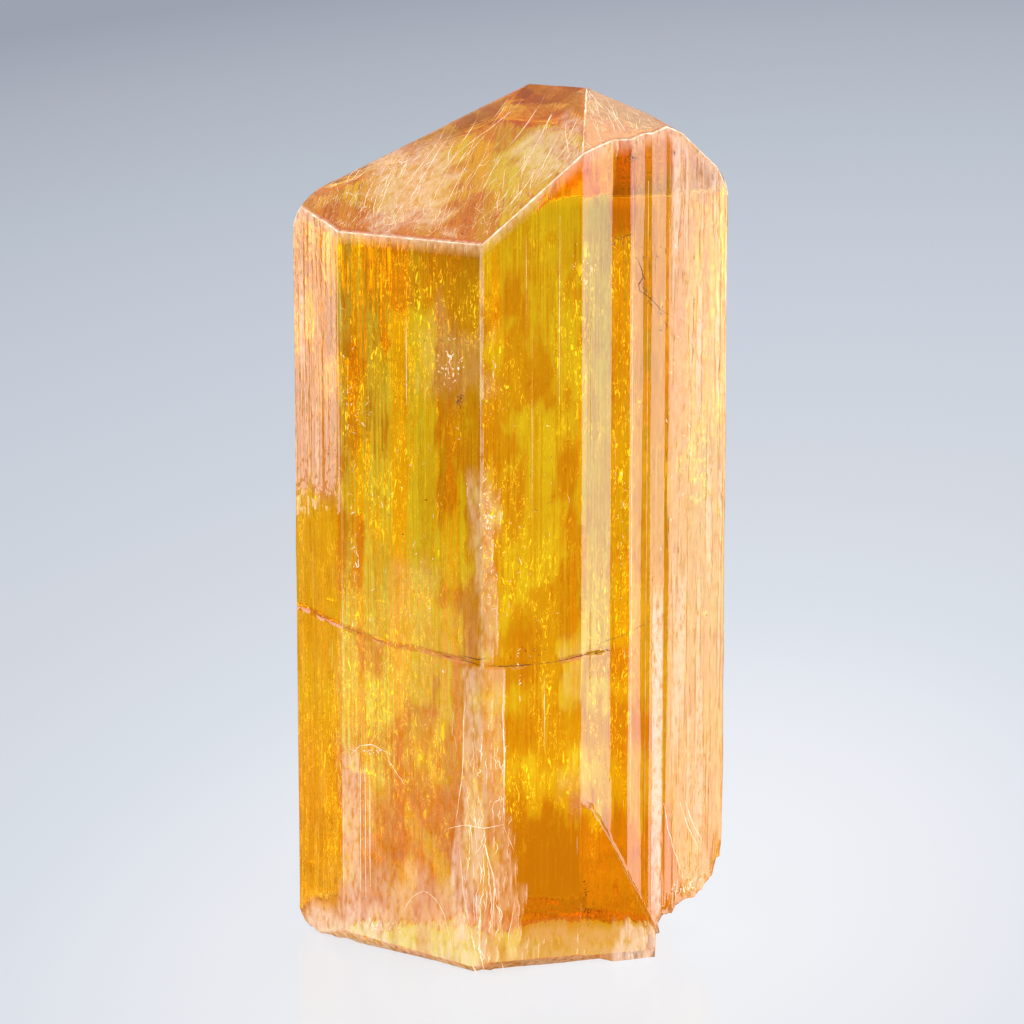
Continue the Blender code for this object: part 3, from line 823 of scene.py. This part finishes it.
# White flecks: short bright scars in loose groups: x and seen height of the middle, spread both
# ways, how many and how bold. None hangs over the chipped rim of the foot.
FOOT_CLEARANCE = 0.35
FLECKS = [(-3.0, 32.0, 0.55, 1.2, 44, 1.6), (-8.2, 31.5, 0.35, 3.0, 16, 1.0),
          (-7.5, 29.6, 0.5, 1.6, 16, 1.0), (-1.15, 24.4, 0.30, 1.6, 46, 1.35),
          (-1.0, 21.0, 0.35, 2.2, 26, 1.0), (-0.9, 32.0, 0.3, 3.5, 12, 1.0),
          (3.5, 37.0, 0.6, 0.8, 20, 0.9), (0.5, 20.0, 2.6, 8.0, 34, 0.8),
          (-5.0, 24.0, 3.0, 8.0, 40, 0.8), (-7.2, 2.2, 1.6, 0.5, 46, 1.2),
          (6.6, 1.4, 0.5, 0.4, 26, 1.2), (9.2, 4.4, 0.7, 0.7, 40, 1.1),
          (-7.1, 11.8, 0.8, 0.12, 12, 1.0), (8.9, 30.0, 1.2, 7.0, 34, 0.8),
          (0.4, 16.6, 0.2, 1.2, 8, 1.3), (-7.9, 22.0, 0.25, 4.0, 26, 0.9),
          (5.7, 24.0, 0.3, 5.0, 16, 0.8)]
group = np.repeat(np.arange(len(FLECKS)), [row[4] for row in FLECKS])
rows = np.array(FLECKS)[group]
scatter = 0.55 * seeded.normal(0, 1, (2, len(rows), 1))
tilt = 0.055 * seeded.normal(0, 1, (2, len(rows), 1)) * np.linspace(-1, 1, LINE_POINTS)
tilt = tilt + np.cumsum(seeded.normal(0, 0.006, tilt.shape), axis=2)
fleck_x = rows[:, :1] + rows[:, 2:3] * scatter[0] + tilt[0]
fleck_z = rows[:, 1:2] + rows[:, 3:4] * scatter[1] + 1.6 * tilt[1]
fleck_lines = wall_points(fleck_x, fleck_z)
fleck_sizes = (0.012 + 0.030 * seeded.random((len(rows), 1)) ** 2) * rows[:, 5:6]
fleck_foot = foot_height(fleck_lines[..., 0], fleck_lines[..., 1])
rests = (fleck_lines[..., 2] > fleck_foot + FOOT_CLEARANCE).all(axis=1)
fleck_lines, fleck_sizes = fleck_lines[rests], fleck_sizes[rests]

# Scars: pale raised edges on the walls, each through a few points of x and seen height.
SCAR_SIZE = 0.030
SCARS = [[(-8.32, 11.44), (-7.76, 12.06), (-7.05, 12.17), (-6.48, 11.86), (-5.87, 11.55)],
         [(-6.38, 11.75), (-6.05, 11.1), (-5.72, 10.56), (-5.36, 10.05)],
         [(-5.46, 3.31), (-5.0, 4.09), (-4.34, 4.50), (-3.68, 3.94), (-3.22, 2.80), (-2.96, 1.24)],
         [(-3.22, 7.82), (-2.30, 8.08), (-1.28, 7.92), (-0.26, 8.13)],
         [(-2.25, 16.1), (-2.30, 13.4), (-2.40, 10.8), (-2.76, 8.1)],
         [(-0.26, 16.1), (-0.36, 14.4), (-0.26, 10.8), (-0.36, 8.2)],
         [(-0.36, 8.1), (0.26, 6.7), (0.31, 4.1), (-0.10, 2.0), (0.20, 1.0)],
         [(-1.80, 6.5), (-1.30, 7.2), (-0.80, 5.2), (-0.90, 2.2)],
         [(-2.60, 7.0), (-2.35, 4.6), (-2.00, 2.4), (-1.70, 0.9)],
         [(8.78, 9.01), (9.19, 7.72), (9.80, 6.47)], [(9.05, 9.1), (9.45, 7.9), (9.95, 6.9)],
         [(7.95, 9.0), (8.25, 7.3), (8.90, 5.3)], [(4.14, 9.0), (5.40, 6.5), (7.20, 2.4)]]


def along_paths(paths, wander):
    """Points of wall lines through these corners, as many between each two of them. Their x is
    jittered by this size."""
    shares = np.linspace(0, 1, LINE_POINTS)
    places = [[np.interp(shares, np.linspace(0, 1, len(path)), line) for line in zip(*path)]
              for path in paths]
    x, level = np.array(places).transpose(1, 0, 2)
    return wall_points(x + seeded.normal(0, wander, x.shape), level)


scar_lines = along_paths(SCARS, 0.02)
scar_sizes = np.full((len(SCARS), 1), SCAR_SIZE)

# Highlight beads along the rim of the roof, each a few columns long, and down the crest between its two
# front faces: raised beads whose glow paints the light caught on these edges.
RIM_HIGHLIGHT_BEAD_STEP = 9
CREST_HIGHLIGHT_BEADS = 10
CREST_HIGHLIGHT_BEAD_SHARE = 0.13
CREST_END = np.array((3.63, -5.81, 42.33))
starts = np.arange(0, columns, RIM_HIGHLIGHT_BEAD_STEP)
rim_run = wall[-1][(starts[:, None] + np.arange(LINE_POINTS)) % columns] + (0, 0, EDGE_BEVEL / 2)
crest_share = np.arange(CREST_HIGHLIGHT_BEADS)[:, None] / CREST_HIGHLIGHT_BEADS
crest_share = crest_share + np.linspace(0, CREST_HIGHLIGHT_BEAD_SHARE, LINE_POINTS)
crest_run = APEX + crest_share[..., None] * (CREST_END - APEX)
crest_run[..., :2] += seeded.normal(0, 0.012, crest_run[..., :2].shape)
highlight_beads = np.vstack((rim_run, crest_run))
highlight_bead_sizes = 0.026 + 0.034 * seeded.random((len(highlight_beads), 1))
rib_sizes = 0.012 + 0.012 * seeded.random((RIBS, 1))
centres = np.vstack((roof_lines, step_lines, rib_lines, highlight_beads, fleck_lines, scar_lines))
widths = np.vstack((roof_sizes, step_sizes, rib_sizes, highlight_bead_sizes, fleck_sizes, scar_sizes))
crown_lines = mesh_object("crown_lines", *thin_ridges(centres, widths * taper, 0.03))

# The raised skin scatters light and is mottled between warm and pale, and it glows in the same mottle
# with painted light.
WARM_SKIN = (0.95, 0.68, 0.44, 1.0)
PALE_SKIN = (1.0, 0.90, 0.78, 1.0)
WARM_SKIN_GLOW = (0.46, 0.29, 0.14, 1.0)
PALE_SKIN_GLOW = (0.66, 0.50, 0.36, 1.0)
skin, skin_tree, skin_shader = noded_material("topaz_skin")
mottle = uneven(skin_tree, (1, 1, 1), 2.2, 2.0)["Mottle"]
skin_colour = blended(skin_tree, mottle, WARM_SKIN, PALE_SKIN)
skin_glow = blended(skin_tree, mottle, WARM_SKIN_GLOW, PALE_SKIN_GLOW)
skin_tree.links.new(skin_colour, skin_shader.inputs["Base Color"])
skin_tree.links.new(skin_glow, skin_shader.inputs["Emission Color"])
skin_shader.inputs["Roughness"].default_value = 0.35
skin_shader.inputs["Emission Strength"].default_value = 1.0
skin.cycles.emission_sampling = "NONE"
crown_lines.data.materials.append(skin)
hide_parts("topaz_crystal")
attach(crown_lines, "root")

# Dark marks: grains and short hair lines of brown stain in the mouth of the healed crack and in
# pits of the upper right walls. Each is a thin ridge that hardly stands out.
CRACK_MARKS_START = -10.6
CRACK_MARKS_WIDTH = 15.0
EVEN_MARKS = 36
CLUSTER_MARKS = 16
LONGEST_MARK = 0.55
crack_x = np.concatenate((CRACK_MARKS_START + CRACK_MARKS_WIDTH * seeded.random(EVEN_MARKS),
                          3.6 + seeded.normal(0, 0.9, CLUSTER_MARKS),
                          -0.9 + seeded.normal(0, 0.7, CLUSTER_MARKS)))[:, None]
lengths = 0.3 + seeded.random(crack_x.shape)
crack_x = crack_x + np.linspace(0, LONGEST_MARK, LINE_POINTS) * lengths
crack_y = np.interp(crack_x, plan[front, 0], plan[front, 1])
crack_seen = seen_height(crack_y, crack_height(crack_x, crack_y))
crack_marks = wall_points(crack_x, crack_seen + seeded.normal(0, 0.015, crack_x.shape))

# Stained lines through a few points of x and seen height, with the size of each.
STAIN_PATHS = [[(3.68, 17.3), (4.75, 17.66), (5.77, 17.97), (6.59, 18.43), (7.71, 18.9)],
               [(6.48, 37.5), (6.70, 36.6), (6.50, 36.2), (6.60, 35.8)],
               [(6.60, 35.9), (7.10, 35.5), (7.95, 34.7)],
               [(5.40, 38.5), (5.95, 38.7), (6.25, 38.8)],
               [(6.0, 42.9), (6.2, 42.6), (6.4, 42.7)],
               [(-2.4, 17.0), (-1.6, 16.8), (-1.1, 16.9)],
               [(4.55, 17.1), (4.90, 17.25), (5.15, 17.15)]]
STAIN_SIZES = np.array((0.014, 0.045, 0.030, 0.022, 0.040, 0.030, 0.040))[:, None]
path_marks = along_paths(STAIN_PATHS, 0.03)

# Grains of stain in loose groups: x and seen height of the middle, and the spread both ways.
GRAINS = 150
MARK_SPOTS = np.array([(5.95, 42.6, 0.45, 0.2), (8.22, 43.0, 0.25, 0.1), (5.7, 38.4, 0.8, 0.25),
                       (6.9, 37.9, 1.3, 0.7), (6.75, 36.2, 0.15, 0.8), (7.3, 35.0, 0.5, 0.5),
                       (7.8, 34.2, 0.3, 0.3), (-3.3, 33.4, 0.7, 0.3), (-2.5, 30.2, 0.15, 0.6),
                       (3.95, 3.2, 0.2, 0.5), (3.85, 4.6, 0.15, 0.5), (1.1, 17.2, 1.2, 0.3),
                       (2.0, 25.0, 1.6, 4.0), (-5.0, 24.0, 1.8, 4.0), (8.6, 20.0, 1.2, 6.0)])
chosen = MARK_SPOTS[seeded.integers(0, len(MARK_SPOTS), GRAINS)]
grain_x = chosen[:, 0] + chosen[:, 2] * 0.5 * seeded.normal(0, 1, GRAINS)
grain_z = chosen[:, 1] + chosen[:, 3] * 0.5 * seeded.normal(0, 1, GRAINS)
lean = seeded.normal(0, 1, (GRAINS, 2, 1)) * 0.05 * np.linspace(-1, 1, LINE_POINTS)
grain_marks = wall_points(grain_x[:, None] + lean[:, 0], grain_z[:, None] + 1.3 * lean[:, 1])
marks = np.vstack((crack_marks, grain_marks, path_marks))
crack_mark_sizes = 0.006 + 0.022 * seeded.random((len(crack_marks), 1)) ** 3
grain_sizes = 0.012 + 0.030 * seeded.random((GRAINS, 1)) ** 2
mark_sizes = np.vstack((crack_mark_sizes, grain_sizes, STAIN_SIZES))
stain_marks = mesh_object("stain_marks", *thin_ridges(marks, mark_sizes * taper, 0.012))

# The stain itself is a dull crust, mottled between dark and reddish brown.
DARK_UMBER = (0.16, 0.06, 0.03, 1.0)
REDDISH_UMBER = (0.42, 0.16, 0.06, 1.0)
stain, stain_tree, stain_shader = noded_material("brown_stain")
umber = uneven(stain_tree, (1, 1, 1), 3.0, 2.0)["Mottle"]
stain_colour = blended(stain_tree, umber, DARK_UMBER, REDDISH_UMBER)
stain_tree.links.new(stain_colour, stain_shader.inputs["Base Color"])
stain_shader.inputs["Roughness"].default_value = 0.6
stain_marks.data.materials.append(stain)
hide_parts("topaz_crystal")
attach(stain_marks, "root")

# The floor: a wide glossy sheet that glows with painted light, bright white near the crystal and falling
# off to a cool grey far behind it.
FLOOR_REACH = 3.0
FADE_CENTRE = (0.005, 0.0, 0.0)
FADE_TURN = (0.0, 0.0, math.radians(-10.6))
FADE_SHAPE = (0.5, 1.0, 1.0)
FADE_REACH = 0.36
floor_mesh = bpy.data.meshes.new("floor")
floor_corners = [(x * FLOOR_REACH, y * FLOOR_REACH, 0.0) for x, y in ((-1, -1), (1, -1), (1, 1), (-1, 1))]
floor_mesh.from_pydata(floor_corners, [], [(0, 1, 2, 3)])
floor = bpy.data.objects.new("floor", floor_mesh)
bpy.context.scene.collection.objects.link(floor)
floor_material, floor_tree, floor_shader = noded_material("floor")
place = put(floor_tree, "ShaderNodeTexCoord").outputs["Object"]
turned = put(floor_tree, "ShaderNodeMapping",
             {"Vector": place, "Location": FADE_CENTRE, "Rotation": FADE_TURN, "Scale": FADE_SHAPE},
             vector_type="TEXTURE").outputs["Vector"]
distance = put(floor_tree, "ShaderNodeVectorMath", {0: turned}, operation="LENGTH").outputs["Value"]
ramp = put(floor_tree, "ShaderNodeValToRGB", {"Fac": worked(floor_tree, "DIVIDE", distance, FADE_REACH)})
FLOOR_GLOW_COLOURS = [(0.0, (0.78, 0.79, 0.81)), (0.044, (0.72, 0.73, 0.74)), (0.11, (0.65, 0.66, 0.685)),
                 (0.186, (0.53, 0.56, 0.60)), (0.277, (0.466, 0.484, 0.523)),
                 (0.385, (0.406, 0.437, 0.481)), (0.517, (0.346, 0.376, 0.423)),
                 (0.683, (0.265, 0.298, 0.334)), (0.853, (0.191, 0.203, 0.242)),
                 (1.0, (0.10, 0.11, 0.15))]
for index, (spot, colour) in enumerate(FLOOR_GLOW_COLOURS):
    stop = ramp.color_ramp.elements[index] if index < 2 else ramp.color_ramp.elements.new(spot)
    stop.position = spot
    stop.color = (*colour, 1.0)
# The floor's brightness is this painted light, given as emission.
floor_tree.links.new(ramp.outputs["Color"], floor_shader.inputs["Emission Color"])
floor_shader.inputs["Emission Strength"].default_value = 1.0
floor_shader.inputs["Base Color"].default_value = (0.22, 0.22, 0.23, 1.0)
floor_shader.inputs["Roughness"].default_value = 0.22
floor_shader.inputs["IOR"].default_value = 1.16
floor.data.materials.append(floor_material)
floor.visible_glossy = False
floor.visible_shadow = False

# Soft studio light: a pale sky all round and large soft panels beside, behind and above.
BELOW_SKY = (0.02, 0.02, 0.02, 1.0)
PALE_SKY = (0.58, 0.62, 0.69, 1.0)
world = bpy.data.worlds.new("studio")
bpy.context.scene.world = world
world.use_nodes = True
sky = put(world.node_tree, "ShaderNodeTexCoord").outputs["Generated"]
height = put(world.node_tree, "ShaderNodeSeparateXYZ", {"Vector": sky}).outputs["Z"]
above = spread(world.node_tree, height, -0.12, 0.02)
sky_colour = blended(world.node_tree, above, BELOW_SKY, PALE_SKY)
world.node_tree.links.new(sky_colour, world.node_tree.nodes["Background"].inputs["Color"])


def soft_panel(name, width, height, place, aim, power, colour=(1.0, 1.0, 1.0)):
    """A rectangular lamp of this size in metres, at place, facing aim, unseen by the camera. It
    lights the crystal alone, so it leaves no bright patch on the floor."""
    data = bpy.data.lights.new(name, "AREA")
    data.shape = "RECTANGLE"
    data.size = width
    data.size_y = height
    data.energy = power
    data.color = colour
    lamp = bpy.data.objects.new(name, data)
    lamp.location = place
    lamp.rotation_euler = (Vector(place) - Vector(aim)).to_track_quat("Z", "Y").to_euler()
    lamp.visible_camera = False
    data.use_shadow = False
    lamp.light_linking.receiver_collection = lit
    bpy.context.scene.collection.objects.link(lamp)


lit = bpy.data.collections.new("lit_by_panels")
for piece in (crystal, crown_lines, stain_marks):
    lit.objects.link(piece)
middle = (0.0, 0.0, 0.022)
soft_panel("right_panel", 0.11, 0.14, (0.156, -0.036, -0.005), middle, 0.16, (1.0, 0.97, 1.0))
soft_panel("left_panel", 0.06, 0.07, (-0.095, 0.033, 0.035), (0.0, 0.0, 0.035), 0.030, (1.0, 0.95, 1.0))
soft_panel("top_panel", 0.14, 0.14, (0.09, 0.012, 0.27), middle, 0.14)

# Light is followed far enough for the stone's inner reflections, and no further.
scene = bpy.context.scene
scene.view_settings.view_transform = "Standard"
scene.cycles.max_bounces = 12
scene.cycles.transmission_bounces = 12
scene.cycles.glossy_bounces = 3
scene.cycles.diffuse_bounces = 1
scene.cycles.use_light_tree = False
scene.cycles.caustics_reflective = False
scene.cycles.caustics_refractive = False
